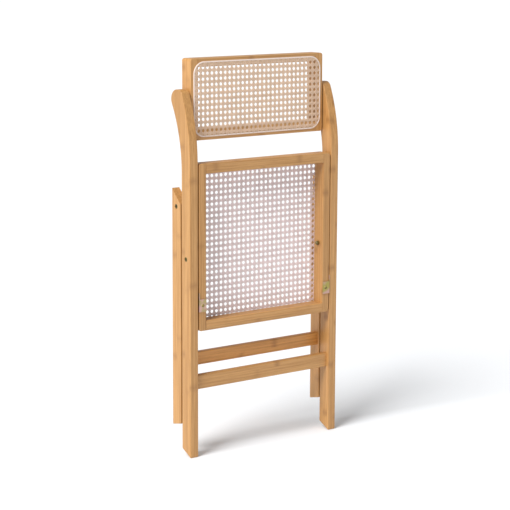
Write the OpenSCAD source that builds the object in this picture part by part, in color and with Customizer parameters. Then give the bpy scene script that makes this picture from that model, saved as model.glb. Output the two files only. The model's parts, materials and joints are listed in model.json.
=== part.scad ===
// Folding chair in bamboo with a cane seat and a cane backrest, folded flat and standing upright.
// X runs across the chair, Y from its front to its back, and Z up from the floor.
// The origin is on the floor, midway across the chair and midway from front to back.
// "Left" and "right" are as seen by a person who faces the front of the chair.
// Shapes are drawn for the right side with the long legs' front faces at y = 0.

/* [Legs] */
// Width across the outer faces of the legs
overall_w = 420; // [380:1:520]
// Thickness of each leg, across the chair
leg_w = 22; // [18:0.5:28]
// Depth of each leg, front to back
leg_d = 33.5; // [28:0.5:40]
// Height of the long legs when folded
leg_top_z = 833.5; // [800:0.5:900]
// Lean of the long legs when the chair is open, which their feet are cut to
foot_cut = 26; // [15:0.5:30]
// Gap between the long legs and the rear legs behind them
rear_gap = 4.5; // [1.5:0.5:6]
// Gap between the legs and the seat or backrest between them, for a washer
side_gap = 3; // [2.8:0.1:5]

/* [Leg heads] */
// Drop from the legs' top to where their front edge starts to curve back
front_bend_drop = 161.5; // [140:0.5:195]
// Radius of the front edge's curve
front_bend_r = 383; // [340:1:460]
// Drop from the legs' top to where their back edge starts to curve back
back_bend_drop = 183.5; // [165:0.5:215]
// Radius of the back edge's curve
back_bend_r = 318; // [280:1:380]
// Radius of the head's front corner
head_front_r = 16; // [6:0.5:20]
// Radius of the head's back corner
head_back_r = 22; // [15:0.5:26]

/* [Rungs] */
// Height of the front rung's lower edge
front_rung_z = 156; // [100:0.5:200]
// Width of the front rung's face
front_rung_h = 32.5; // [24:0.5:50]
// Distance of the front rung behind the legs' front faces
front_rung_y = 8; // [1:0.5:12]
// Height of the rear rung's lower edge
rear_rung_z = 202.5; // [120:0.5:240]
// Width of the rear rung's face
rear_rung_h = 30; // [20:1:45]
// Distance of the rear rung behind the rear legs' front faces
rear_rung_y = 5.5; // [1:0.5:12]
// Thickness of both rungs
rung_t = 16; // [12:0.5:20]

/* [Seat] */
// Length of the seat, front to rear
seat_l = 379; // [345:1:400]
// Distance from the seat's rear end to its pivot
seat_tail = 165; // [150:1:175]
// Thickness of the seat frame
seat_d = 32; // [27:0.5:36]
// Width of the seat's side rails
seat_rail_w = 19; // [16:0.5:26]
// Width of the seat's front and rear rails
seat_cross_w = 23; // [17:0.5:32]
// Radius of the seat's outer corners
seat_corner_r = 6; // [2:0.5:10]

/* [Backrest] */
// Drop from the legs' top to the middle of the backrest, where its pins are
back_drop = 23.5; // [19:0.5:30]
// Height of the backrest panel
back_h = 182; // [150:1:230]
// Thickness of the backrest frame
back_d = 35.5; // [24:0.5:40]
// Distance from the backrest's front face to its pins
back_pin_depth = 15.5; // [12:0.5:24]
// Width of the backrest's stiles and top rail
back_rail_w = 19; // [17:0.5:26]
// Width of the backrest's bottom rail
back_low_w = 26; // [17:0.5:34]
// Radius of the backrest's outer corners
back_corner_r = 6; // [2:0.5:10]
// Lean of the backrest away from the line of the legs
back_lean = 0.3; // [0:0.1:5]

/* [Cane] */
// Distance of the spline's middle from the panel's edge
spline_inset = 8.5; // [8:0.5:11]
// Width of the spline and its groove
spline_w = 3.5; // [3:0.5:5]
// Corner radius of the spline's middle line
spline_r = 27; // [24:0.5:30]
// Depth of the spline groove
groove_deep = 4; // [2:0.5:5]
// Height of the spline above the wood
spline_proud = 1.6; // [0.6:0.1:3]
// Thickness of the cane
cane_t = 1.4; // [1:0.1:2.5]

/* [Folding gear] */
// Height of the seat's pivot on the long legs
seat_pivot_z = 457; // [430:1:480]
// Height of the rear legs' pivot above the seat's
rear_pivot_rise = 115; // [105:1:125]
// Turn of the seat from folded to open
seat_swing = 112; // [100:1:114]
// Turn of the rear legs from folded to open
leg_spread = 39; // [30:0.5:42]
// Distance of the guide pin in front of the rear leg's middle line when folded
guide_lead = 1.5; // [0:0.5:6]
// Drop from the seat's pivot to the guide pin when folded
guide_drop = 86; // [78:1:95]
// Diameter of the pivots' plain shanks and of the guide pins
pivot_d = 8; // [6:0.5:10]
// Depth of the guide slot in the rear legs
slot_deep = 9; // [6:0.5:12]
// Height at which the rear legs' top chamfer starts, above their pivot
chamfer_low = 6.5; // [2:0.5:9]
// Height of the rear legs' top above their pivot
chamfer_high = 40; // [30:0.5:50]
// Width of the hinge plates
plate_w = 24; // [18:0.5:30]
// Thickness of the hinge plates
plate_t = 2; // [1.5:0.1:3]
// Height of the screwed leaf of the seat brackets
bracket_h = 29; // [22:1:36]
// Thickness of the seat brackets
bracket_t = 1.6; // [1.2:0.1:2]
// Drop from the guide pin to the middle of the screwed leaf
bracket_drop = 20; // [8:1:35]

/* [Fixings] */
// Diameter of the pivot bolts' heads
head_d = 10.5; // [9:0.5:14]
// Height of the pivot bolts' heads
head_h = 3; // [2:0.5:4]
// Depth of the pivot bolts' heads below the wood
head_sunk = 0.8; // [0:0.1:2]
// Diameter of the pivot bolts' threaded ends
thread_d = 5; // [4:0.5:7]
// Width across the flats of the cap nuts
nut_af = 9; // [9:0.5:14]
// Height of the cap nuts' hexagon
nut_h = 4; // [3:0.5:6]
// Diameter of the washers
washer_d = 19; // [14:0.5:22]
// Diameter of the rungs' dowels
rung_dowel_d = 8; // [6:0.5:10]
// Diameter of the frames' dowels
frame_dowel_d = 6; // [4:0.5:7]
// Length of every dowel
dowel_l = 24; // [18:1:30]
// Diameter of the wood screws' shanks
screw_d = 3.6; // [3:0.1:4.5]
// Diameter of the wood screws' heads
screw_head_d = 7; // [6:0.5:8]
// Length of the wood screws
screw_l = 14; // [10:0.5:16]

/* [Hidden] */
$fn = 48;

bamboo_light = [0.88, 0.70, 0.51];
bamboo_deep = [0.78, 0.60, 0.41];
cane_colour = [0.84, 0.74, 0.64];
spline_colour = [0.93, 0.87, 0.80];
steel_colour = [0.30, 0.29, 0.28];
zinc_colour = [0.80, 0.74, 0.50];
nylon_colour = [0.92, 0.91, 0.88];
dowel_colour = [0.86, 0.76, 0.58];

// Running clearance round a shank, play of a moving face, and the overshoot of a cut
fit = 0.05;
play = 0.2;
over = 1;
// Steps along an arc of an outline
arc_steps = 24;

leg_out = overall_w / 2;
leg_in = leg_out - leg_w;
panel_w = 2 * (leg_in - side_gap);
panel_x = panel_w / 2;
rail_in = panel_x - seat_rail_w;
stile_in = panel_x - back_rail_w;
rear_y = leg_d + rear_gap;

// Pivots as [y, z]
seat_pivot = [leg_d / 2, seat_pivot_z];
rear_pivot = [rear_y + leg_d / 2, seat_pivot_z + rear_pivot_rise];
guide_pin = [rear_pivot.x - guide_lead, seat_pivot_z - guide_drop];
spread_ratio = leg_spread / seat_swing;
seat_z = seat_pivot_z - seat_tail;
bracket_z = guide_pin.y - bracket_drop;

// The rear legs end where both pairs of feet stand flat on the floor of the open chair
rear_foot_cut = leg_spread - foot_cut;
open_pivot_z = rear_pivot.y * cos(foot_cut) - rear_pivot.x * sin(foot_cut);
rear_foot_z = rear_pivot.y - (open_pivot_z + leg_d / 2 * sin(rear_foot_cut)) / cos(rear_foot_cut);

// Corner circles of a long leg's head, each tangent to the curved edge beside it
front_bend_z = leg_top_z - front_bend_drop;
back_bend_z = leg_top_z - back_bend_drop;
head_front_z = leg_top_z - head_front_r;
head_front_reach = front_bend_r - head_front_r;
head_front_y = front_bend_r - sqrt(pow(head_front_reach, 2) - pow(head_front_z - front_bend_z, 2));
head_front_a = asin((head_front_z - front_bend_z) / head_front_reach);
head_back_z = leg_top_z - head_back_r;
head_back_reach = back_bend_r + head_back_r;
head_back_a = asin((head_back_z - back_bend_z) / head_back_reach);
head_back_y = leg_d + back_bend_r - head_back_reach * cos(head_back_a);
head_hub_lead = 5;
back_pivot = [head_back_y - head_hub_lead, leg_top_z - back_drop];
back_y = back_pivot.x - back_pin_depth;
back_mid_z = back_pivot.y;
back_z = back_mid_z - back_h / 2;

// The screw heads on the brackets are the foremost points and the leg heads the rearmost
screw_head_h = 1.8;
depth_front = -bracket_t - screw_head_h;
depth_back = head_back_y + head_back_r;
mid_y = (depth_front + depth_back) / 2;

function arc(centre, r, from, to) =
    [for (i = [0:arc_steps]) let (a = from + (to - from) * i / arc_steps) centre + r * [cos(a), sin(a)]];
function turned(v, a) = [v.x * cos(a) - v.y * sin(a), v.x * sin(a) + v.y * cos(a)];

// Side outline of a long leg: up its front edge, over its head and down its back edge
long_leg_outline = concat(
    [[0, 0]],
    arc([front_bend_r, front_bend_z], front_bend_r, 180, 180 - head_front_a),
    arc([head_front_y, head_front_z], head_front_r, 180 - head_front_a, 90),
    arc([head_back_y, head_back_z], head_back_r, 90, -head_back_a),
    arc([leg_d + back_bend_r, back_bend_z], back_bend_r, 180 - head_back_a, 180),
    [[leg_d, leg_d * tan(foot_cut)]]
);

// Side outline of a rear leg, chamfered at the top so that it clears the long leg as it swings
rear_leg_outline = [
    [rear_y, rear_foot_z + leg_d * tan(rear_foot_cut)],
    [rear_y, rear_pivot.y + chamfer_low],
    [rear_y + leg_d, rear_pivot.y + chamfer_high],
    [rear_y + leg_d, rear_foot_z]
];

// Place of the guide pin in a rear leg when the seat has turned by a: the seat carries the pin
// round the seat's pivot while the leg turns round its own, in a constant ratio
function slot_point(a) =
    rear_pivot + turned(seat_pivot + turned(guide_pin - seat_pivot, a) - rear_pivot, -a * spread_ratio);
function slot_side(a, r) =
    let (d = slot_point(a + 0.5) - slot_point(a - 0.5))
    slot_point(a) + r * [-d.y, d.x] / norm(d);
slot_r = pivot_d / 2 + play;

module place() {
    translate([0, -mid_y, 0]) children();
}

// The right half's shape on the side asked for: 1 is right and -1 is left
module side(s) {
    mirror([s < 0 ? 1 : 0, 0, 0]) children();
}

module both_sides() {
    side(1) children();
    side(-1) children();
}

// A flat outline in y and z, made solid from x to x + t
module across(x, t) {
    translate([x, 0, 0]) rotate([90, 0, 90]) linear_extrude(t) children();
}

// A cylinder across the chair at p = [y, z], from x0 to x1
module rod(p, r, x0, x1) {
    translate([x0, p.x, p.y]) rotate([0, 90, 0]) cylinder(r = r, h = x1 - x0);
}

// Holes for a shoulder bolt's shank and for its head, sunk in the leg's outer face
module bolt_hole(p) {
    rod(p, pivot_d / 2 + fit, leg_in - over, leg_out + over);
    rod(p, head_d / 2 + play, leg_out - head_h - head_sunk - play, leg_out + over);
}

// Two dowels one above the other, in the joint between a leg and a rung
module rung_dowel_pair(y, z, h, extra) {
    for (s = [-1, 1])
        rod([y, z + h / 2 + s * h / 4], rung_dowel_d / 2 + extra,
            leg_in - dowel_l / 2 - extra * 2, leg_in + dowel_l / 2 + extra * 2);
}

module front_rung_pair(extra) {
    rung_dowel_pair(front_rung_y + rung_t / 2, front_rung_z, front_rung_h, extra);
}

module rear_rung_pair(extra) {
    rung_dowel_pair(rear_y + rear_rung_y + rung_t / 2, rear_rung_z, rear_rung_h, extra);
}

// Outline of a hinge plate: a strip let into the long leg, with its eye round the rear pivot
plate_front_y = 7;
module plate_outline(extra) {
    translate([plate_front_y - extra, rear_pivot.y - plate_w / 2 - extra])
        square([rear_pivot.x - plate_front_y + extra, plate_w + 2 * extra]);
    translate(rear_pivot) circle(plate_w / 2 + extra);
}
plate_screw_points = [
    [plate_front_y + plate_w / 4, rear_pivot.y + plate_w / 5],
    [leg_d - plate_w / 4, rear_pivot.y - plate_w / 5]
];

module long_leg() {
    difference() {
        across(leg_in, leg_w) polygon(long_leg_outline);
        bolt_hole(seat_pivot);
        front_rung_pair(fit);
        rod(back_pivot, pivot_d / 2 + fit, leg_in - over, leg_in + pin_reach + play);
        across(leg_in - over, plate_t + over) plate_outline(0);
        for (p = plate_screw_points)
            rod(p, screw_d / 2 + fit, leg_in, leg_in + screw_l + play);
    }
}

module rear_leg() {
    difference() {
        across(leg_in, leg_w) polygon(rear_leg_outline);
        bolt_hole(rear_pivot);
        rear_rung_pair(fit);
        guide_slot();
        translate([leg_in - over, rear_y - over, rear_pivot.y - plate_w / 2 - play])
            cube([plate_t + play + over, leg_d + 2 * over, chamfer_high + plate_w]);
    }
}

// The curved slot that the guide pin runs in, from folded at its foot to open at its head
module guide_slot() {
    step = seat_swing / arc_steps;
    across(leg_in - over, slot_deep + over) {
        polygon(concat(
            [for (i = [0:arc_steps]) slot_side(i * step, slot_r)],
            [for (i = [arc_steps:-1:0]) slot_side(i * step, -slot_r)]
        ));
        translate(slot_point(0)) circle(slot_r);
        translate(slot_point(seat_swing)) circle(slot_r);
    }
}

module rung(y, z, h) {
    translate([-leg_in, y, z]) cube([2 * leg_in, rung_t, h]);
}

// A head with a hexagon socket, its outer face at x
module socket_head(p, x) {
    socket_af = head_d / 2;
    difference() {
        rod(p, head_d / 2, x - head_h, x);
        translate([x - head_h * 0.6, p.x, p.y]) rotate([0, 90, 0])
            cylinder(d = socket_af / cos(30), h = head_h, $fn = 6);
    }
}

module seat_pivot_bolt() {
    socket_head(seat_pivot, leg_out - head_sunk);
    rod(seat_pivot, pivot_d / 2, rail_in - play, leg_out - head_sunk - head_h);
    rod(seat_pivot, thread_d / 2, rail_in - play - nut_h, rail_in - play);
}

// A hexagon with a domed cap over the end of the bolt
module seat_pivot_nut() {
    cap_r = nut_af / 2 - 0.5;
    difference() {
        translate([rail_in - play, seat_pivot.x, seat_pivot.y]) rotate([0, -90, 0]) union() {
            cylinder(d = nut_af / cos(30), h = nut_h, $fn = 6);
            translate([0, 0, nut_h]) rotate_extrude() intersection() {
                circle(cap_r);
                square(cap_r);
            }
        }
        rod(seat_pivot, thread_d / 2 + fit, rail_in - play - nut_h - play, rail_in);
    }
}

// A washer round p, between the leg's inner face and the panel's side
module gap_washer(p) {
    difference() {
        rod(p, washer_d / 2, panel_x + play, leg_in - play);
        rod(p, pivot_d / 2 + play, panel_x, leg_in);
    }
}

module hinge_plate() {
    difference() {
        across(leg_in, plate_t) plate_outline(0);
        rod(rear_pivot, thread_d / 2 + fit, leg_in - over, leg_in + plate_t + over);
        for (p = plate_screw_points) sunk_screw(p, fit, over);
    }
}

// A countersunk wood screw at p, its head flush with the plate's inner face
module sunk_screw(p, extra, proud) {
    rod(p, screw_d / 2 + extra, leg_in - proud, leg_in + screw_l);
    translate([leg_in, p.x, p.y]) rotate([0, 90, 0])
        cylinder(r1 = screw_head_d / 2 + extra, r2 = screw_d / 2 + extra, h = plate_t);
}

module rear_pivot_bolt() {
    socket_head(rear_pivot, leg_out - head_sunk);
    rod(rear_pivot, pivot_d / 2, leg_in + plate_t + play / 2, leg_out - head_sunk - head_h);
    rod(rear_pivot, thread_d / 2, leg_in, leg_in + plate_t + play / 2);
}

// A plain pin, blind in the leg's head and in the backrest's stile
pin_reach = 11;
module backrest_pin(extra) {
    rod(back_pivot, pivot_d / 2 + extra, panel_x - pin_reach - extra * 2, leg_in + pin_reach);
}

// A rectangle w by h with corners of radius r, on its centre
module round_rect(w, h, r) {
    square([w - 2 * r, h], center = true);
    square([w, h - 2 * r], center = true);
    for (x = [-1, 1], y = [-1, 1])
        translate([x * (w / 2 - r), y * (h / 2 - r)]) circle(r);
}

// The spline's loop round a panel of height h: its inner and outer edges are grown by extra
module spline_loop(h, extra) {
    half_w = spline_w / 2 + extra;
    difference() {
        spline_field(h, half_w);
        spline_field(h, -half_w);
    }
}

// The area inside a line that lies out beyond the spline's middle line
module spline_field(h, out) {
    inset = spline_inset - out;
    round_rect(panel_w - 2 * inset, h - 2 * inset, spline_r + out);
}

// An outline in x and z, centred at height z, made solid from y to y + t
module frontal(y, z, t) {
    translate([0, y + t, z]) rotate([90, 0, 0]) linear_extrude(t) children();
}

// Outline of a panel's frame member: the panel's rounded outline where it meets the given box
module member(h, corner_r, x0, x1, z0, z1) {
    intersection() {
        round_rect(panel_w, h, corner_r);
        translate([x0, z0]) square([x1 - x0, z1 - z0]);
    }
}

// Two dowels one behind the other at each end of a cross rail at height z
module frame_dowels(x, z, y, gap, extra) {
    half_l = dowel_l / 2 + extra * 2;
    for (i = [0, 1])
        rod([y + i * gap, z], frame_dowel_d / 2 + extra, x - half_l, x + half_l);
}

seat_mid_z = seat_z + seat_l / 2;
seat_dowel_zs = [seat_z + seat_cross_w / 2, seat_z + seat_l - seat_cross_w / 2];
module seat_dowel_set(extra) {
    for (z = seat_dowel_zs)
        frame_dowels(rail_in, z, seat_d * 0.27, seat_d * 0.4, extra);
}

module seat_groove() {
    frontal(seat_d - groove_deep, seat_mid_z, groove_deep + over) spline_loop(seat_l, fit);
}

module seat_rail() {
    difference() {
        frontal(0, seat_mid_z, seat_d)
            member(seat_l, seat_corner_r, rail_in, panel_x, -seat_l / 2, seat_l / 2);
        rod(seat_pivot, pivot_d / 2 + fit, rail_in - over, panel_x + over);
        seat_dowel_set(fit);
        seat_groove();
        translate([panel_x - seat_rail_w / 2, 0, bracket_z]) rotate([-90, 0, 0])
            translate([0, 0, -over]) cylinder(r = screw_d / 2 + fit, h = screw_l + over);
    }
}

// A cross rail of the seat, its lower edge at height z
module seat_cross(z) {
    difference() {
        translate([-rail_in, 0, z]) cube([2 * rail_in, seat_d, seat_cross_w]);
        both_sides() seat_dowel_set(fit);
        seat_groove();
    }
}

// An angle bracket: one leaf screwed under the side rail and one beside it that holds the guide pin
module seat_bracket() {
    eye_r = pivot_d / 2 + 5;
    difference() {
        union() {
            translate([rail_in + 1, -bracket_t, bracket_z - bracket_h / 2])
                cube([panel_x + bracket_t - rail_in - 1, bracket_t, bracket_h]);
            across(panel_x, bracket_t) {
                translate([-bracket_t, bracket_z - bracket_h / 2])
                    square([bracket_h / 2, guide_pin.y + eye_r - bracket_z + bracket_h / 2]);
                translate([-bracket_t, guide_pin.y - eye_r]) square([guide_pin.x + bracket_t, 2 * eye_r]);
                translate(guide_pin) circle(eye_r);
            }
        }
        rod(guide_pin, guide_stem_r + fit, panel_x - over, panel_x + bracket_t + over);
        translate([panel_x - seat_rail_w / 2, -bracket_t - over, bracket_z]) rotate([-90, 0, 0])
            cylinder(r = screw_d / 2 + fit, h = bracket_t + 2 * over);
    }
}

// A pin riveted in the bracket, running in the rear leg's slot
guide_stem_r = 2.5;
module guide_pin_solid() {
    rod(guide_pin, pivot_d / 2, panel_x + bracket_t, leg_in + slot_deep - 1);
    rod(guide_pin, guide_stem_r, panel_x + play / 2, panel_x + bracket_t);
}

module bracket_screw() {
    translate([panel_x - seat_rail_w / 2, -bracket_t, bracket_z]) rotate([-90, 0, 0]) difference() {
        union() {
            translate([0, 0, -screw_head_h])
                cylinder(d1 = screw_head_d - 2, d2 = screw_head_d, h = screw_head_h);
            cylinder(d = screw_d, h = screw_l);
        }
        translate([0, 0, -screw_head_h - over]) cylinder(d = 3, h = over + 1.2, $fn = 6);
    }
}

// Turns what is drawn upright by the backrest's lean, round its pins
module leaning() {
    translate([0, back_pivot.x, back_pivot.y]) rotate([-back_lean, 0, 0])
        translate([0, -back_pivot.x, -back_pivot.y]) children();
}

back_dowel_zs = [back_z + back_low_w / 2, back_z + back_h - back_rail_w / 2];
module back_dowel_set(extra) {
    for (z = back_dowel_zs)
        frame_dowels(stile_in, z, back_y + back_d * 0.4, back_d * 0.35, extra);
}

module back_groove() {
    frontal(back_y - over, back_mid_z, groove_deep + over) spline_loop(back_h, fit);
}

module back_stile() {
    difference() {
        leaning() difference() {
            frontal(back_y, back_mid_z, back_d)
                member(back_h, back_corner_r, stile_in, panel_x, -back_h / 2, back_h / 2);
            back_dowel_set(fit);
            back_groove();
        }
        backrest_pin(fit);
    }
}

// A cross rail of the backrest, w wide, its lower edge at height z
module back_cross(z, w) {
    leaning() difference() {
        translate([-stile_in, back_y, z]) cube([2 * stile_in, back_d, w]);
        both_sides() back_dowel_set(fit);
        back_groove();
    }
}

// Named pieces, each in its own place
module left_long_leg() { color(bamboo_light) place() side(-1) long_leg(); }
module right_long_leg() { color(bamboo_light) place() side(1) long_leg(); }
module front_rung() {
    color(bamboo_deep) place() difference() {
        rung(front_rung_y, front_rung_z, front_rung_h);
        both_sides() front_rung_pair(fit);
    }
}
module front_rung_dowels() { color(dowel_colour) place() both_sides() front_rung_pair(0); }
module left_seat_pivot_bolt() { color(steel_colour) place() side(-1) seat_pivot_bolt(); }
module right_seat_pivot_bolt() { color(steel_colour) place() side(1) seat_pivot_bolt(); }
module left_seat_pivot_nut() { color(steel_colour) place() side(-1) seat_pivot_nut(); }
module right_seat_pivot_nut() { color(steel_colour) place() side(1) seat_pivot_nut(); }
module seat_pivot_washers() { color(nylon_colour) place() both_sides() gap_washer(seat_pivot); }
module left_hinge_plate() { color(zinc_colour) place() side(-1) hinge_plate(); }
module right_hinge_plate() { color(zinc_colour) place() side(1) hinge_plate(); }
module hinge_plate_screws() {
    color(zinc_colour) place() both_sides() for (p = plate_screw_points) sunk_screw(p, 0, 0);
}
module left_rear_pivot_bolt() { color(steel_colour) place() side(-1) rear_pivot_bolt(); }
module right_rear_pivot_bolt() { color(steel_colour) place() side(1) rear_pivot_bolt(); }
module left_backrest_pin() { color(steel_colour) place() side(-1) backrest_pin(0); }
module right_backrest_pin() { color(steel_colour) place() side(1) backrest_pin(0); }
module backrest_washers() { color(nylon_colour) place() both_sides() gap_washer(back_pivot); }
module left_seat_rail() { color(bamboo_deep) place() side(-1) seat_rail(); }
module right_seat_rail() { color(bamboo_deep) place() side(1) seat_rail(); }
module seat_front_rail() { color(bamboo_deep) place() seat_cross(seat_z + seat_l - seat_cross_w); }
module seat_rear_rail() { color(bamboo_deep) place() seat_cross(seat_z); }
module seat_dowels() { color(dowel_colour) place() both_sides() seat_dowel_set(0); }
module seat_cane() {
    color(cane_colour) place()
        frontal(seat_d, seat_mid_z, cane_t) spline_field(seat_l, -spline_w / 2 - play);
}
module seat_spline() {
    color(spline_colour) place()
        frontal(seat_d - groove_deep + play, seat_mid_z, groove_deep - play + spline_proud)
            spline_loop(seat_l, 0);
}
module left_seat_bracket() { color(zinc_colour) place() side(-1) seat_bracket(); }
module right_seat_bracket() { color(zinc_colour) place() side(1) seat_bracket(); }
module left_guide_pin() { color(steel_colour) place() side(-1) guide_pin_solid(); }
module right_guide_pin() { color(steel_colour) place() side(1) guide_pin_solid(); }
module seat_bracket_screws() { color(zinc_colour) place() both_sides() bracket_screw(); }
module left_rear_leg() { color(bamboo_light) place() side(-1) rear_leg(); }
module right_rear_leg() { color(bamboo_light) place() side(1) rear_leg(); }
module rear_rung() {
    color(bamboo_deep) place() difference() {
        rung(rear_y + rear_rung_y, rear_rung_z, rear_rung_h);
        both_sides() rear_rung_pair(fit);
    }
}
module rear_rung_dowels() { color(dowel_colour) place() both_sides() rear_rung_pair(0); }
module left_back_stile() { color(bamboo_light) place() side(-1) back_stile(); }
module right_back_stile() { color(bamboo_light) place() side(1) back_stile(); }
module back_top_rail() {
    color(bamboo_light) place() back_cross(back_z + back_h - back_rail_w, back_rail_w);
}
module back_bottom_rail() { color(bamboo_light) place() back_cross(back_z, back_low_w); }
module back_dowels() { color(dowel_colour) place() leaning() both_sides() back_dowel_set(0); }
module back_cane() {
    color(cane_colour) place() leaning()
        frontal(back_y - cane_t, back_mid_z, cane_t) spline_field(back_h, -spline_w / 2 - play);
}
module back_spline() {
    color(spline_colour) place() leaning()
        frontal(back_y - spline_proud, back_mid_z, groove_deep - play + spline_proud) spline_loop(back_h, 0);
}

left_long_leg();
right_long_leg();
front_rung();
front_rung_dowels();
left_seat_pivot_bolt();
right_seat_pivot_bolt();
left_seat_pivot_nut();
right_seat_pivot_nut();
seat_pivot_washers();
left_hinge_plate();
right_hinge_plate();
hinge_plate_screws();
left_rear_pivot_bolt();
right_rear_pivot_bolt();
left_backrest_pin();
right_backrest_pin();
backrest_washers();
left_seat_rail();
right_seat_rail();
seat_front_rail();
seat_rear_rail();
seat_dowels();
seat_cane();
seat_spline();
left_seat_bracket();
right_seat_bracket();
left_guide_pin();
right_guide_pin();
seat_bracket_screws();
left_rear_leg();
right_rear_leg();
rear_rung();
rear_rung_dowels();
left_back_stile();
right_back_stile();
back_top_rail();
back_bottom_rail();
back_dowels();
back_cane();
back_spline();
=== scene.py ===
# A bamboo folding chair with cane panels, folded flat: its looks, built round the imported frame
import json
import math

import bmesh
import bpy
import numpy as np
from mathutils import Matrix, Vector


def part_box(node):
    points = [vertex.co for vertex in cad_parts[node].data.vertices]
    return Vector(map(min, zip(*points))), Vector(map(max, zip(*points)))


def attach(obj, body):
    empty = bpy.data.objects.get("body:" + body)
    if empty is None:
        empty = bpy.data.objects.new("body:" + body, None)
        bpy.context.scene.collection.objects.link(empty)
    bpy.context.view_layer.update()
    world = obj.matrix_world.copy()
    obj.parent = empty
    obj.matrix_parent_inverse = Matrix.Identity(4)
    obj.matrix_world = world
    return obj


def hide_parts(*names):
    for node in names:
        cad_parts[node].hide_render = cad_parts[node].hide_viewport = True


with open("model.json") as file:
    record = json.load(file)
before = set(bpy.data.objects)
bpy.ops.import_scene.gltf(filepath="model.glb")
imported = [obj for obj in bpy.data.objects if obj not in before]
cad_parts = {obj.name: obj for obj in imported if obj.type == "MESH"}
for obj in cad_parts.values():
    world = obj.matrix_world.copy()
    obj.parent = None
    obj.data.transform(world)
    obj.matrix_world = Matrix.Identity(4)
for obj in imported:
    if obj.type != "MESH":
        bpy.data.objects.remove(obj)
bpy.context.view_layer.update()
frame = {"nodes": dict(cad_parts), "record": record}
print("frame loaded:", len(frame["nodes"]), "nodes")

scene = bpy.context.scene
nodeOf = frame["nodes"]
bodyOf = {n: b for b, ns in frame["record"]["behaviour"]["bodies"].items() for n in ns}
slotOf = {s["node"]: s["material_slot"] for s in frame["record"]["subparts"]}
mm = 0.001
samePoint = 0.01 * mm  # points nearer than this are one point

# Camera, floor and light

eye = {"lens": 123.5, "azimuth": -36.31, "elevation": 10.506, "roll": 0.253,
       "aim": (-0.0064, -0.0020, 0.4432), "distance": 4.035}
floorLook = {"size": 90.0, "colour": (0.885, 0.900, 0.920), "roughness": 0.85, "shine": 0.2}
sky = {"colour": (1.0, 1.0, 1.0), "strength": 0.46}
key = {"from": (-0.68, -0.17, 0.70), "spread": 28, "strength": 3.35, "colour": (1.0, 1.0, 1.0)}


# The camera stands back from its aim by its distance, turned by azimuth and elevation, then rolled
def makeCamera(s):
    a, e = math.radians(s["azimuth"]), math.radians(s["elevation"])
    back = Vector((math.sin(a) * math.cos(e), -math.cos(a) * math.cos(e), math.sin(e)))
    data = bpy.data.cameras.new("camera")
    data.lens = s["lens"]
    data.clip_start, data.clip_end = 0.05, 200
    cam = bpy.data.objects.new("camera", data)
    scene.collection.objects.link(cam)
    cam.rotation_mode = "QUATERNION"
    cam.location = Vector(s["aim"]) + back * s["distance"]
    roll = Matrix.Rotation(math.radians(s["roll"]), 3, "Z").to_quaternion()
    cam.rotation_quaternion = (-back).to_track_quat("-Z", "Y") @ roll
    scene.camera = cam


# One broad, distant key light: spread is the angle it fills in degrees, which sets how soft its shadows are
def makeKey(s):
    data = bpy.data.lights.new("key", "SUN")
    data.energy, data.angle, data.color = s["strength"], math.radians(s["spread"]), s["colour"]
    lamp = bpy.data.objects.new("key", data)
    lamp.rotation_euler = Vector(s["from"]).to_track_quat("Z", "Y").to_euler()
    scene.collection.objects.link(lamp)


# An even, pale sky that fills the shadows
def makeSky(s):
    world = bpy.data.worlds.new("sky")
    scene.world = world
    world.use_nodes = True
    back = world.node_tree.nodes["Background"]
    back.inputs["Color"].default_value = (*s["colour"], 1)
    back.inputs["Strength"].default_value = s["strength"]


# Small helpers for shader nodes

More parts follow.
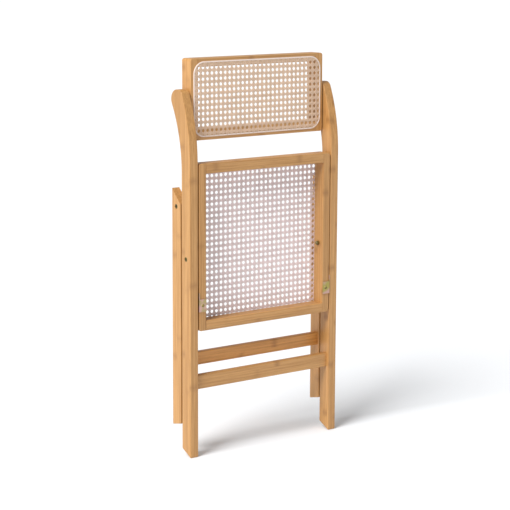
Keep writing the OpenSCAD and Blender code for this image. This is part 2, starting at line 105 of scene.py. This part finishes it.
class Shader:
    def __init__(self, name):
        self.material = bpy.data.materials.new(name)
        self.material.use_nodes = True
        self.tree = self.material.node_tree
        self.surface = self.tree.nodes["Principled BSDF"]

    def node(self, kind, **values):
        made = self.tree.nodes.new(kind)
        for name, value in values.items():
            setattr(made, name, value)
        return made

    def link(self, source, target):
        self.tree.links.new(source, target)

    # Puts a socket or a plain number on an input
    def put(self, target, value):
        if hasattr(value, "is_output"):
            self.link(value, target)
        else:
            target.default_value = value

    def sum(self, operation, a, b=0.0, c=0.0):
        made = self.node("ShaderNodeMath", operation=operation)
        for socket, value in zip(made.inputs, (a, b, c)):
            self.put(socket, value)
        return made.outputs[0]

    # Goes from 0 to 1 as value goes from low to high, with soft ends
    def smooth(self, value, low, high, start=0.0, end=1.0):
        made = self.node("ShaderNodeMapRange", interpolation_type="SMOOTHSTEP")
        self.put(made.inputs["Value"], value)
        for name, x in (("From Min", low), ("From Max", high), ("To Min", start), ("To Max", end)):
            self.put(made.inputs[name], x)
        return made.outputs[0]

    def join(self, x, y, z):
        made = self.node("ShaderNodeCombineXYZ")
        for socket, value in zip(made.inputs, (x, y, z)):
            self.put(socket, value)
        return made.outputs[0]

    def split(self, vector):
        made = self.node("ShaderNodeSeparateXYZ")
        self.link(vector, made.inputs[0])
        return made.outputs[0], made.outputs[1], made.outputs[2]

    def noise(self, vector, scale, detail=3.0, roughness=0.55):
        made = self.node("ShaderNodeTexNoise")
        self.put(made.inputs["Vector"], vector)
        self.put(made.inputs["Scale"], scale)
        self.put(made.inputs["Detail"], detail)
        self.put(made.inputs["Roughness"], roughness)
        return made.outputs["Fac"]

    def random(self, value):
        made = self.node("ShaderNodeTexWhiteNoise", noise_dimensions="1D")
        self.put(made.inputs["W"], value)
        return made.outputs["Value"]

    def mix(self, share, a, b, blend="MIX"):
        made = self.node("ShaderNodeMix", data_type="RGBA", blend_type=blend)
        self.put(made.inputs[0], share)
        for socket, value in ((made.inputs[6], a), (made.inputs[7], b)):
            self.put(socket, value if hasattr(value, "is_output") else (*value, 1))
        return made.outputs[2]

    def bump(self, height, strength, distance):
        made = self.node("ShaderNodeBump")
        self.put(made.inputs["Strength"], strength)
        self.put(made.inputs["Distance"], distance)
        self.link(height, made.inputs["Height"])
        self.link(made.outputs[0], self.surface.inputs["Normal"])

    def objectPoint(self):
        return self.node("ShaderNodeTexCoord").outputs["Object"]


# Materials

bambooLook = {  # tones multiply the colours, as red, green and blue
    "pale": (0.575, 0.308, 0.108), "deep": (0.445, 0.218, 0.066), "fibre": (0.300, 0.135, 0.036),
    "nodeMark": (0.330, 0.150, 0.055), "stripWidth": 0.0207, "nodeSpacing": 0.235,
    # One tone below lightens and warms the rear rung: painted bounce light, not the bamboo's own colour
    "crossTone": (1.04, 1.04, 1.04), "bounceLitTone": (1.36, 1.23, 0.96), "paleTone": (1.10, 1.10, 1.10),
    "dowelTone": (1.08, 1.08, 1.08), "coat": 0.10, "coatRoughness": 0.28,
}


# Bamboo glued from strips: fine fibres run along the piece, and each strip has its own tone and its own
# node marks, which are thin dark bands across it at even distances, with a soft darker patch round each
def bamboo(name, along, tone=(1.0, 1.0, 1.0), seed=0.0):
    s, look = Shader(name), bambooLook
    x, y, z = s.split(s.objectPoint())
    run, side, depth = {"Z": (z, x, y), "X": (x, z, y)}[along]
    stripA = s.sum("FLOOR", s.sum("DIVIDE", s.sum("ADD", side, 10.003 + seed), look["stripWidth"]))
    stripB = s.sum("FLOOR", s.sum("DIVIDE", s.sum("ADD", depth, 10.001), look["stripWidth"] * 0.8))
    strip = s.sum("MULTIPLY_ADD", stripB, 17.31, stripA)
    luck = s.random(strip)
    luck2 = s.random(s.sum("ADD", strip, 5.7))

    def stretched(across, lengthwise):
        return s.join(s.sum("MULTIPLY", side, across), s.sum("MULTIPLY", depth, across),
                      s.sum("MULTIPLY", run, lengthwise))
    wave = s.noise(stretched(60, 9), 1.0, 2)
    bent = s.sum("MULTIPLY_ADD", wave, 0.006, run)
    place = s.sum("ADD", s.sum("DIVIDE", bent, look["nodeSpacing"]), s.sum("MULTIPLY", luck, 3.0))
    fromNode = s.sum("ABSOLUTE", s.sum("SUBTRACT", s.sum("FRACT", place), 0.5))
    off = s.sum("MULTIPLY", fromNode, look["nodeSpacing"])
    line = s.smooth(off, 0.0034, 0.0006)
    patch = s.smooth(off, 0.014, 0.001)

    fine = s.noise(stretched(1500, 26), 1.0, 4, 0.65)
    broad = s.noise(stretched(330, 5), 1.0, 3)
    cloud = s.noise(stretched(22, 5), 1.0, 2)
    dashes = s.noise(stretched(2600, 120), 1.0, 2, 0.6)

    pale, deep, fibre, nodeMark = (tuple(c * t for c, t in zip(look[k], tone))
                                   for k in ("pale", "deep", "fibre", "nodeMark"))
    patchShare = s.sum("MULTIPLY", patch, s.sum("MULTIPLY_ADD", luck2, 0.50, 0.10))
    lineShare = s.sum("MULTIPLY", line, s.sum("MULTIPLY_ADD", luck2, 0.30, 0.04))
    colour = s.mix(s.smooth(broad, 0.32, 0.70), pale, deep)
    colour = s.mix(s.sum("MULTIPLY", s.smooth(fine, 0.46, 0.72), 0.50), colour, fibre)
    colour = s.mix(s.sum("MULTIPLY", s.smooth(dashes, 0.60, 0.74), 0.35), colour, fibre)
    colour = s.mix(patchShare, colour, fibre)
    colour = s.mix(lineShare, colour, nodeMark)
    shade = s.sum("ADD", s.sum("MULTIPLY_ADD", luck, 0.13, 0.90), s.sum("MULTIPLY", cloud, 0.09))
    colour = s.mix(1.0, colour, s.join(shade, shade, shade), "MULTIPLY")
    s.link(colour, s.surface.inputs["Base Color"])
    s.link(s.smooth(fine, 0.2, 0.9, 0.36, 0.54), s.surface.inputs["Roughness"])
    s.surface.inputs["Coat Weight"].default_value = look["coat"]
    s.surface.inputs["Coat Roughness"].default_value = look["coatRoughness"]
    height = s.sum("SUBTRACT", s.sum("MULTIPLY_ADD", broad, 0.6, fine), s.sum("MULTIPLY", line, 0.5))
    s.bump(height, 0.35, 0.00012)
    return s.material


caneLook = {
    "skin": (0.760, 0.560, 0.405), "skinDeep": (0.540, 0.290, 0.150), "pith": (0.900, 0.750, 0.740),
    "pithDeep": (0.760, 0.590, 0.580), "roughSkin": 0.42, "roughPith": 0.75,
}


# Cane strands: streaks run along each strand, which the piece's own UV map measures in metres, and the
# whole part of U is the strand's number, so that each strand has a tone of its own
def cane(name, face, deep, roughness, streak):
    s = Shader(name)
    u, v, _ = s.split(s.node("ShaderNodeUVMap", uv_map="strand").outputs[0])
    number = s.sum("FLOOR", u)
    luck = s.random(s.sum("ADD", number, 0.37))
    within = s.sum("FRACT", u)
    at = s.join(s.sum("MULTIPLY", within, 6), s.sum("MULTIPLY", v, 55), s.sum("MULTIPLY", number, 3.1))
    streaks = s.noise(at, 1.0, 3, 0.6)
    joints = s.noise(s.join(s.sum("MULTIPLY", v, 11), number, 0.0), 1.0, 1)
    colour = s.mix(s.smooth(streaks, 0.35, 0.75, 0.0, streak), face, deep)
    colour = s.mix(s.smooth(joints, 0.66, 0.74, 0.0, 0.5), colour, deep)
    shade = s.sum("MULTIPLY_ADD", luck, 0.20, 0.88)
    colour = s.mix(1.0, colour, s.join(shade, shade, shade), "MULTIPLY")
    s.link(colour, s.surface.inputs["Base Color"])
    s.link(s.smooth(streaks, 0.2, 0.8, roughness - 0.06, roughness + 0.1), s.surface.inputs["Roughness"])
    s.bump(streaks, 0.3, 0.0002)
    return s.material


reedLook = {"face": (0.84, 0.73, 0.66), "streak": (0.68, 0.53, 0.44), "slow": (0.76, 0.60, 0.50)}


# Pale reed: long soft streaks and a slow change of tone along the loop, by its own UV map
def reed(name):
    s, look = Shader(name), reedLook
    u, v, _ = s.split(s.node("ShaderNodeUVMap", uv_map="loop").outputs[0])
    streaks = s.noise(s.join(s.sum("MULTIPLY", u, 9), s.sum("MULTIPLY", v, 40), 0.0), 1.0, 3)
    slow = s.noise(s.join(s.sum("MULTIPLY", v, 7), 0.0, 0.0), 1.0, 2)
    colour = s.mix(s.smooth(streaks, 0.35, 0.8, 0.0, 0.6), look["face"], look["streak"])
    colour = s.mix(s.smooth(slow, 0.35, 0.7, 0.0, 0.25), colour, look["slow"])
    s.link(colour, s.surface.inputs["Base Color"])
    s.link(s.smooth(streaks, 0.3, 0.8, 0.40, 0.58), s.surface.inputs["Roughness"])
    s.bump(streaks, 0.25, 0.0002)
    return s.material


platings = {  # two hues of the plating, the worn steel, the roughness and how fine the drift of hue is
    "yellow zinc": ((0.42, 0.36, 0.11), (0.58, 0.37, 0.31), (0.52, 0.48, 0.38), 0.36, 30),
    "yellow zinc, rosy": ((0.62, 0.39, 0.33), (0.46, 0.37, 0.17), (0.56, 0.46, 0.40), 0.36, 60),
    "dark zinc": ((0.27, 0.22, 0.08), (0.20, 0.18, 0.11), (0.36, 0.32, 0.24), 0.38, 55),
}


# Plated steel: the plating's tint drifts between two hues, and worn spots show the steel below
def plated(name):
    s = Shader(name)
    hueA, hueB, worn, roughness, scale = platings[name]
    point = s.objectPoint()
    drift = s.noise(point, scale, 2)
    spots = s.noise(point, 900, 3, 0.7)
    turned = s.node("ShaderNodeMapping")
    s.link(point, turned.inputs["Vector"])
    turned.inputs["Rotation"].default_value = (0.3, 0.5, 0.2)
    turned.inputs["Scale"].default_value = (4000, 4000, 150)
    scratches = s.noise(turned.outputs[0], 1.0, 2)
    colour = s.mix(s.smooth(drift, 0.40, 0.60), hueA, hueB)
    colour = s.mix(s.smooth(spots, 0.62, 0.72, 0.0, 0.5), colour, worn)
    s.link(colour, s.surface.inputs["Base Color"])
    s.surface.inputs["Metallic"].default_value = 1.0
    s.link(s.smooth(scratches, 0.3, 0.7, roughness - 0.07, roughness + 0.1), s.surface.inputs["Roughness"])
    s.bump(s.sum("ADD", scratches, spots), 0.2, 0.00006)
    return s.material


nylonLook = {"face": (0.80, 0.78, 0.73), "mottle": (0.72, 0.69, 0.63)}


# Moulded nylon: a faint mottle in the colour and a fine grain in the surface
def nylon(name):
    s, look = Shader(name), nylonLook
    point = s.objectPoint()
    mottle = s.noise(point, 160, 3)
    grain = s.noise(point, 2600, 2)
    colour = s.mix(s.smooth(mottle, 0.3, 0.7), look["face"], look["mottle"])
    s.link(colour, s.surface.inputs["Base Color"])
    s.link(s.smooth(grain, 0.2, 0.8, 0.42, 0.60), s.surface.inputs["Roughness"])
    s.bump(grain, 0.2, 0.00006)
    return s.material


uprightBamboo = bamboo("bamboo upright", "Z")
crossBamboo = bamboo("bamboo across", "X", bambooLook["crossTone"], 0.004)
# The rear rung's bamboo, made lighter and warmer: painted bounce light
bounceLitBamboo = bamboo("bamboo across, painted bounce light", "X", bambooLook["bounceLitTone"], 0.009)
paleBamboo = bamboo("bamboo upright, pale", "Z", bambooLook["paleTone"], 0.007)
endBamboo = bamboo("bamboo dowels", "X", bambooLook["dowelTone"], 0.002)
caneSkin = cane("cane skin", caneLook["skin"], caneLook["skinDeep"], caneLook["roughSkin"], 0.6)
canePith = cane("cane pith", caneLook["pith"], caneLook["pithDeep"], caneLook["roughPith"], 0.8)
paleReed = reed("pale reed")
yellowZinc = plated("yellow zinc")
rosyZinc = plated("yellow zinc, rosy")
darkZinc = plated("dark zinc")
whiteNylon = nylon("nylon")
print("materials made")


# Wooden pieces: a copy of the exact solid, with its outer edges rounded over

woodwork = {  # run is the way the grain goes; across is the axis that the piece's outline is swept along
    "left_long_leg": {"run": "Z", "across": 0, "ends": True, "radius": 1.8},
    "right_long_leg": {"run": "Z", "across": 0, "ends": True, "radius": 1.8},
    "left_rear_leg": {"run": "Z", "across": 0, "ends": True, "radius": 1.4, "pale": True},
    "right_rear_leg": {"run": "Z", "across": 0, "ends": True, "radius": 1.4, "pale": True},
    "left_seat_rail": {"run": "Z", "across": 1, "ends": True, "radius": 1.6},
    "right_seat_rail": {"run": "Z", "across": 1, "ends": True, "radius": 1.6},
    "left_back_stile": {"run": "Z", "across": 1, "ends": True, "radius": 1.6, "pale": True},
    "right_back_stile": {"run": "Z", "across": 1, "ends": True, "radius": 1.6, "pale": True},
    "seat_front_rail": {"run": "X", "across": 0, "ends": False, "radius": 1.6},
    "seat_rear_rail": {"run": "X", "across": 0, "ends": False, "radius": 1.6},
    "back_top_rail": {"run": "X", "across": 0, "ends": False, "radius": 1.6},
    "back_bottom_rail": {"run": "X", "across": 0, "ends": False, "radius": 1.6},
    "front_rung": {"run": "X", "across": 0, "ends": False, "radius": 1.8},
    # The rear rung takes the lighter, warmer bamboo: painted bounce light
    "rear_rung": {"run": "X", "across": 0, "ends": False, "radius": 1.8, "paintedBounce": True},
}
roundover = {"segments": 3, "sharp": 25, "flat": 0.4, "plane": 0.05}
backLean = 0.3


# Copies a node's mesh, merges its points and joins its flat triangles. An edge is rounded if it is sharp and
# lies between two faces that span the whole piece along the swept axis, or between one such face and an end
# plane of that axis; lean turns the piece upright first, about X, so that both tests read its own axes.
def roundedCopy(name, run, across, ends, radius, pale=False, paintedBounce=False, lean=0.0):
    bm = bmesh.new()
    bm.from_mesh(nodeOf[name].data)
    bmesh.ops.remove_doubles(bm, verts=bm.verts, dist=samePoint)
    bmesh.ops.dissolve_limit(bm, angle_limit=math.radians(roundover["flat"]), verts=bm.verts, edges=bm.edges)
    upright = Matrix.Rotation(math.radians(lean), 3, "X")
    level = {v: (upright @ v.co)[across] for v in bm.verts}
    low, high = min(level.values()), max(level.values())
    near = roundover["plane"] * mm
    weight = bm.edges.layers.float.new("bevel_weight_edge")
    whole = {f: max(level[v] for v in f.verts) > high - near and min(level[v] for v in f.verts) < low + near
             for f in bm.faces}
    for e in bm.edges:
        if len(e.link_faces) != 2 or e.calc_face_angle(0) < math.radians(roundover["sharp"]):
            continue
        e.smooth = False
        spans = [whole[f] and abs((upright @ f.normal)[across]) < 0.5 for f in e.link_faces]
        heights = [level[v] for v in e.verts]
        atEnd = min(heights) > high - near or max(heights) < low + near
        if all(spans) or (ends and atEnd and any(spans)):
            e[weight] = 1.0
            e.smooth = True
    for f in bm.faces:
        f.smooth = True
    mesh = bpy.data.meshes.new(name + "_wood")
    bm.to_mesh(mesh)
    bm.free()
    piece = bpy.data.objects.new(name + "_wood", mesh)
    scene.collection.objects.link(piece)
    bevel = piece.modifiers.new("roundover", "BEVEL")
    bevel.limit_method, bevel.width, bevel.segments = "WEIGHT", radius * mm, roundover["segments"]
    bevel.use_clamp_overlap = True
    weighted = piece.modifiers.new("normals", "WEIGHTED_NORMAL")
    weighted.keep_sharp = True
    mesh.materials.clear()
    # The rear rung's flag picks the lighter, warmer bamboo: painted bounce light
    crossing = bounceLitBamboo if paintedBounce else crossBamboo
    mesh.materials.append(crossing if run == "X" else paleBamboo if pale else uprightBamboo)
    return piece


for name, s in woodwork.items():
    piece = roundedCopy(name, lean=backLean if "back_" in name else 0.0, **s)
    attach(piece, bodyOf[name])
    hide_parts(name)
print("woodwork rounded:", len(woodwork), "pieces")


# Panels: where each cane panel lies, from its own CAD nodes

panelShape = {"inset": 8.5, "corner": 27.0, "splineWidth": 3.5, "splineProud": 1.6}


# The panel's own axes: across is +X, up runs along the panel's height, and out is the way its cane faces,
# sign along Y. Its centre is the middle of the face that the cane lies on, found by undoing the lean
def panelFrame(rails, sign, lean):
    tilt = Matrix.Rotation(math.radians(-lean), 3, "X")
    up, out = tilt @ Vector((0, 0, 1)), tilt @ Vector((0, sign, 0))
    upright = [tilt.inverted() @ Vector(v.co) for r in rails for v in nodeOf[r].data.vertices]
    face = max(sign * p.y for p in upright) * sign
    bottom, top = min(p.z for p in upright), max(p.z for p in upright)
    width = 2 * max(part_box(r)[1].x for r in rails)
    centre = tilt @ Vector((0, face, (bottom + top) / 2))
    return {"centre": centre, "up": up, "out": out, "width": width, "height": top - bottom}


seatPanel = panelFrame(["left_seat_rail", "right_seat_rail"], 1, 0.0)
backPanel = panelFrame(["left_back_stile", "right_back_stile"], -1, backLean)


# Places points given as across, up and out in a panel's own axes
def onPanel(panel, a, u, o):
    points = np.stack([a, u, o], axis=-1)
    axes = np.array([(1, 0, 0), panel["up"], panel["out"]], float)
    return points @ axes + np.array(panel["centre"], float)


# Makes a mesh of grids: points has the shape (strips, rings, sides, 3), and each strip is a tube whose
# rings join round and whose two ends are closed; closed strips join their last ring to their first
def tubes(name, points, uv, uvName, slots, closed=False):
    strips, rings, sides, _ = points.shape
    index = np.arange(strips * rings * sides).reshape(strips, rings, sides)
    nextRing = np.roll(index, -1, axis=1) if closed else index[:, 1:]
    thisRing = index if closed else index[:, :-1]
    beside = np.roll(thisRing, -1, axis=2), np.roll(nextRing, -1, axis=2)
    quads = np.stack([thisRing, beside[0], beside[1], nextRing], axis=-1)
    side = np.broadcast_to(np.arange(sides), quads.shape[:3]).reshape(-1)
    quads = quads.reshape(-1, 4)
    faces = quads.tolist()
    slotIndex = np.asarray(slots)[side].tolist()
    if not closed:
        faces += index[:, 0, ::-1].tolist() + index[:, -1, :].tolist()
        slotIndex += [slots[0]] * (2 * strips)
    mesh = bpy.data.meshes.new(name)
    mesh.from_pydata(points.reshape(-1, 3).tolist(), [], faces)
    mesh.polygons.foreach_set("material_index", slotIndex)
    mesh.polygons.foreach_set("use_smooth", [True] * len(faces))
    corners = np.zeros(len(mesh.loops), np.int32)
    mesh.loops.foreach_get("vertex_index", corners)
    layer = mesh.uv_layers.new(name=uvName)
    layer.data.foreach_set("uv", uv.reshape(-1, 2)[corners].astype(np.float32).ravel())
    mesh.update()
    piece = bpy.data.objects.new(name, mesh)
    scene.collection.objects.link(piece)
    return piece


# The spline's middle line: a rectangle with round corners, as n points an even distance apart
def roundedLoop(width, height, corner, n):
    straightA, straightU, quarter = width - 2 * corner, height - 2 * corner, corner * math.pi / 2
    total = 2 * (straightA + straightU) + 4 * quarter
    s = np.arange(n) / n * total
    starts = np.cumsum([0, straightA, quarter, straightU, quarter, straightA, quarter, straightU])
    part = np.searchsorted(starts, s, side="right") - 1
    along = s - starts[part]
    turn = (part + 1) // 2 * (math.pi / 2)
    corners = np.array([(1, -1), (1, 1), (-1, 1), (-1, -1)]) * [width / 2 - corner, height / 2 - corner]
    centre = corners[np.minimum(part // 2, 3)]
    bend = np.where(part % 2 == 1, along / corner, 0.0)
    angle = part // 2 * (math.pi / 2) + bend - math.pi / 2
    ahead = np.stack([-np.sin(angle), np.cos(angle)], axis=-1)
    outward = np.stack([np.cos(angle), np.sin(angle)], axis=-1)
    slack = np.where(part % 2 == 0, along - np.where(part % 4 == 0, straightA, straightU), 0.0)
    return centre + outward * corner + ahead * slack[:, None], outward, s


splineLook = {"rings": 320, "sides": 12, "sunk": 1.0}


# The spline: its section, a flat-sided strip with a half-round top, is carried round the rounded loop
def makeSpline(name, panel, body, node):
    shape, look = panelShape, splineLook
    width = panel["width"] - 2 * shape["inset"] * mm
    height = panel["height"] - 2 * shape["inset"] * mm
    path, outward, s = roundedLoop(width, height, shape["corner"] * mm, look["rings"])
    half, proud = shape["splineWidth"] / 2 * mm, shape["splineProud"] * mm
    angle = np.linspace(0, math.pi, look["sides"] - 2)
    across = np.concatenate([half * np.cos(angle), [-half, half]])
    rise = np.concatenate([proud * np.sin(angle) ** 0.8, [-look["sunk"] * mm] * 2])
    centreLine = path[:, None, :] + outward[:, None, :] * across[None, :, None]
    out = np.broadcast_to(rise, centreLine.shape[:2])
    points = onPanel(panel, centreLine[..., 0], centreLine[..., 1], out)[None]
    if panel["out"].y < 0:
        points = points[:, :, ::-1]
    u = np.linspace(0, 1, look["sides"])
    uv = np.stack(np.broadcast_arrays(u[None, :], s[:, None]), axis=-1)[None]
    piece = tubes(name, points, uv, "loop", [0] * look["sides"], closed=True)
    piece.data.materials.append(paleReed)
    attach(piece, body)
    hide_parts(node)


makeSpline("seat_reed", seatPanel, "seat", "seat_spline")
makeSpline("back_reed", backPanel, "backrest", "back_spline")
print("splines laid")

weave = {
    "gap": 1.30, "width": 2.30, "thick": 0.62, "swing": 0.30, "level": 0.95, "under": 0.4,
    "slantWidth": 2.15, "slantThick": 0.50, "slantSwing": 0.56, "drift": 0.22,
}
seatMesh = {"pitch": (12.60, 13.00), "shift": (4.4, -6.3), "seed": 3}
backMesh = {"pitch": (12.06, 12.72), "shift": (-2.3, 0.5), "seed": 8}


# Half the length of the straight chord, through a rounded rectangle, of the line across = a or up = a
def halfChord(a, halfWide, halfTall, corner):
    into = np.clip(np.abs(a) - (halfWide - corner), 0, corner)
    return halfTall - corner + np.sqrt(np.maximum(corner ** 2 - into ** 2, 0))


# Where a 45 degree line, up = slope * across + c, meets the rounded rectangle, by halving the interval
def slantEnds(c, slope, halfWide, halfTall, corner):
    def inside(a):
        u = slope * a + c
        deepA, deepU = np.abs(a) - (halfWide - corner), np.abs(u) - (halfTall - corner)
        return np.hypot(np.maximum(deepA, 0), np.maximum(deepU, 0)) <= corner
    middle = np.where(np.abs(c) > halfTall, -slope * c - np.sign(-slope * c) * halfTall, 0.0)
    middle = np.clip(middle, -halfWide, halfWide)
    ends = []
    for way in (-1, 1):
        low, high = middle, np.full_like(middle, way * (halfWide + halfTall + 0.1))
        for _ in range(40):  # halvings
            mid = (low + high) / 2
            ok = inside(mid)
            low, high = np.where(ok, mid, low), np.where(ok, high, mid)
        ends.append(low)
    return middle, ends[0], ends[1], inside(middle)


# One family of strands as tubes. Each strand's middle line is a straight line in the panel that rises and
# falls by height(across, up); its section is flat below and crowned above, and side is the way across it
def strandPoints(a, u, height, side, width, thick):
    profileA = np.array([-0.5, -0.32, 0.32, 0.5]) * width
    profileO = np.array([-0.5, 0.5, 0.5, -0.5]) * thick
    pa = a[..., None] + side[0] * profileA
    pu = u[..., None] + side[1] * profileA
    po = height[..., None] + profileO
    return pa, pu, po


# Cane webbing: pairs of upright strands and pairs of crosswise ones weave over and under each other, and
# slanting strands both ways cross midway between the crossings, which leaves an eight-sided hole in each mesh
def makeWeave(name, panel, body, node, pitch, shift, seed):
    w, shape = weave, panelShape
    pa, pu = pitch[0] * mm, pitch[1] * mm
    gap, swing, level = w["gap"] * mm, w["swing"] * mm, w["level"] * mm
    reach = (shape["inset"] + w["under"]) * mm
    halfWide, halfTall = panel["width"] / 2 - reach, panel["height"] / 2 - reach
    corner = (shape["corner"] - w["under"]) * mm
    families = []
    luck = np.random.default_rng(seed)

    def centres(step, half, off):
        n = int(half / step) + 1
        lines = (np.arange(-n, n + 1)) * step + off
        return lines[np.abs(lines) < half - 0.002]

    # Positions along a strand: where it crosses both strands of every pair, between them and beside them
    def stations(step, half, off):
        n = int(half / step) + 2
        aroundPair = np.array([-2, -1, 0, 1, 2]) * gap
        return ((np.arange(-n, n + 1)) * step)[:, None] + off + aroundPair[None, :]

    for upright in (True, False):
        step, other = (pa, pu) if upright else (pu, pa)
        half, length = (halfWide, halfTall) if upright else (halfTall, halfWide)
        off, otherOff = (shift[0], shift[1]) if upright else (shift[1], shift[0])
        pairs = centres(step, half, off * mm)
        which = np.tile([-1, 1], len(pairs))
        line = np.repeat(pairs + luck.uniform(-1, 1, len(pairs)) * w["drift"] * mm, 2) + which * gap
        end = halfChord(line, half, length, corner)
        along = np.sort(stations(other, length, otherOff * mm).ravel())
        t = np.clip(along[None, :], -end[:, None], end[:, None])
        phase = (t - otherOff * mm + other / 2) % other - other / 2
        wave = np.where(np.abs(phase) < 2 * gap, np.sin(math.pi * phase / (2 * gap)), 0.0)
        sign = which[:, None] * (1 if upright else -1)
        height = level + swing * sign * wave
        lineGrid = np.broadcast_to(line[:, None], t.shape)
        a, u = (lineGrid, t) if upright else (t, lineGrid)
        side = (1, 0) if upright else (0, -1)
        families.append((a, u, height, side, w["width"] * mm, w["thick"] * mm, t))

    for slope in (1, -1):
        n = int((halfWide + halfTall) / pa) + 2
        c = (np.arange(-n, n) + 0.5) * pu + (shift[1] - slope * shift[0]) * mm
        c = c + luck.uniform(-1, 1, len(c)) * w["drift"] * mm
        middle, first, last, ok = slantEnds(c, slope * pu / pa, halfWide, halfTall, corner)
        keep = ok & (last - first > 0.012)
        c, first, last = c[keep], first[keep], last[keep]
        grid = (np.arange(-4 * n, 4 * n + 1)) * pa / 4 + shift[0] * mm
        grid = grid[np.abs(grid) < halfWide + pa]
        t = np.clip(grid[None, :], first[:, None], last[:, None])
        u = slope * pu / pa * t + c[:, None]
        height = level - slope * w["slantSwing"] * mm * np.cos(2 * math.pi * (t - shift[0] * mm) / pa)
        side = (slope * math.sqrt(0.5), -math.sqrt(0.5))
        families.append((t, u, height, side, w["slantWidth"] * mm, w["slantThick"] * mm, t * math.sqrt(2)))

    meshes, number = [], 0
    flip = panel["out"].y > 0  # keeps the faces outwards, whichever way the panel faces
    for k, (a, u, height, side, width, thick, t) in enumerate(families):
        points = onPanel(panel, *strandPoints(a, u, height, side, width, thick))
        if flip:
            points = points[:, :, ::-1]
        ids = number + np.arange(a.shape[0])
        number += a.shape[0]
        within = np.linspace(0.05, 0.95, 4)
        uv = np.stack(np.broadcast_arrays(ids[:, None, None] + within, t[..., None]), axis=-1)
        piece = tubes(f"{name}_{k}", points, uv, "strand", [0, 0, 0, 1])
        piece.data.materials.append(caneSkin)
        piece.data.materials.append(canePith)
        meshes.append(piece)
    for piece in meshes:
        bm = bmesh.new()
        bm.from_mesh(piece.data)
        bmesh.ops.dissolve_degenerate(bm, dist=0.00002, edges=bm.edges)
        bmesh.ops.remove_doubles(bm, verts=bm.verts, dist=samePoint)
        bm.to_mesh(piece.data)
        bm.free()
    whole = meshes[0]
    with bpy.context.temp_override(active_object=whole, selected_editable_objects=meshes):
        bpy.ops.object.join()
    whole.name = whole.data.name = name
    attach(whole, body)
    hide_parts(node)
    print(name, "woven:", len(whole.data.polygons), "faces")


makeWeave("seat_weave", seatPanel, "seat", "seat_cane", **seatMesh)
makeWeave("back_weave", backPanel, "backrest", "back_cane", **backMesh)


# Metal and plastic keep their exact solids and get a finish

finishes = {
    "dark_steel": darkZinc, "zinc_steel": yellowZinc, "nylon": whiteNylon, "dowel_wood": endBamboo,
}
ownFinish = {"seat_bracket_screws": darkZinc, "left_seat_bracket": rosyZinc}
for name, node in nodeOf.items():
    if slotOf[name] in finishes:
        node.data.materials.clear()
        node.data.materials.append(ownFinish.get(name, finishes[slotOf[name]]))
print("fittings finished")


# The floor: a plain pale square at Z = 0, size metres wide
def makeFloor(s):
    half = s["size"] / 2
    mesh = bpy.data.meshes.new("floor")
    corners = [(-half, -half, 0), (half, -half, 0), (half, half, 0), (-half, half, 0)]
    mesh.from_pydata(corners, [], [(0, 1, 2, 3)])
    floor = bpy.data.objects.new("floor", mesh)
    scene.collection.objects.link(floor)
    shader = Shader("floor")
    shader.surface.inputs["Base Color"].default_value = (*s["colour"], 1)
    shader.surface.inputs["Roughness"].default_value = s["roughness"]
    shader.surface.inputs["Specular IOR Level"].default_value = s["shine"]
    mesh.materials.append(shader.material)


makeFloor(floorLook)
makeCamera(eye)
makeKey(key)
makeSky(sky)
scene.view_settings.view_transform = "Standard"
print("floor, camera and light set")
